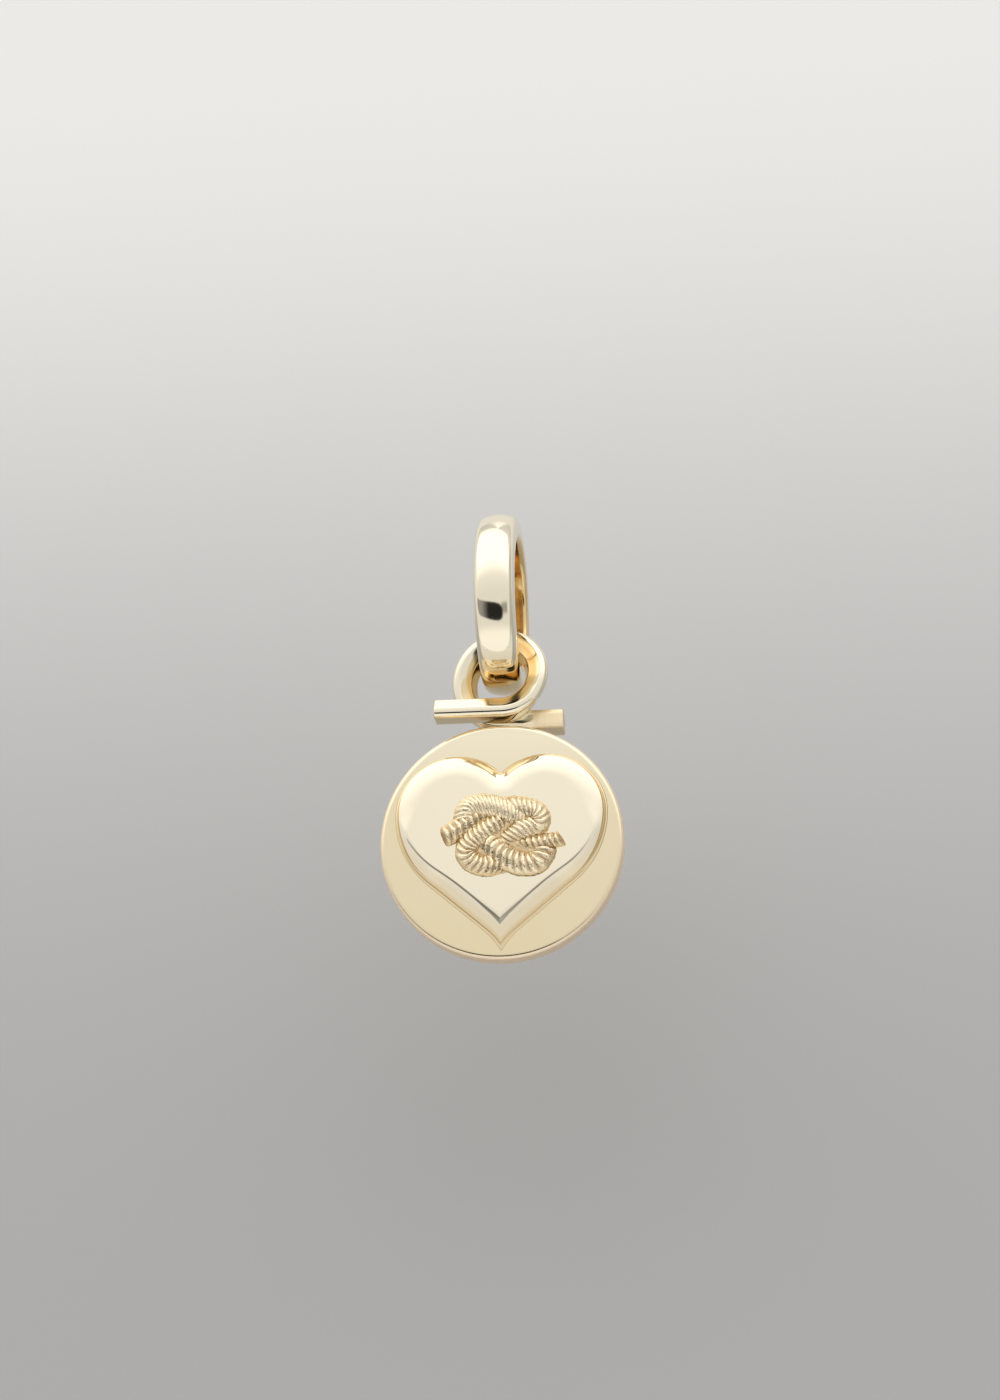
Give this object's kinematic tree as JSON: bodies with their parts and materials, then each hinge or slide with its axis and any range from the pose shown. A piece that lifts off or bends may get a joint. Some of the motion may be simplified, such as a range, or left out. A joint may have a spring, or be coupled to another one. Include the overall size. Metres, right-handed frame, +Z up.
{
  "type": "heart medal charm",
  "caption": "Polished yellow gold disc charm with a raised heart and rope knot, hung by a crossed wire loop on a wide plain bail ring that takes a chain.",
  "frame": {"origin": "centre of the bail ring", "axes": "+Z up as the charm hangs, -Y out of the medal's front, +X along the bail ring's axis to the viewer's right"},
  "size_m": [0.0142, 0.011, 0.0275],
  "materials": {
    "polished_gold": "mirror polished pale yellow gold",
    "loop_gold": "polished yellow gold wire, brushed on its rear leg",
    "medal_gold": "polished pale yellow gold with fine polishing marks",
    "carved_gold": "cast and carved yellow gold, bright on the ridges"
  },
  "bodies": {
    "bail": {"bail_ring": "polished_gold"},
    "charm": {"hanging_loop": "loop_gold", "medal_disc": "medal_gold", "heart_plate": "polished_gold", "rope_knot": "carved_gold"}
  },
  "joints": [
    {"name": "charm_swing", "type": "hinge", "parent": "bail", "child": "charm", "pos_m": [0, 0, 0], "axis": [1, 0, 0], "continuous": true}
  ]
}
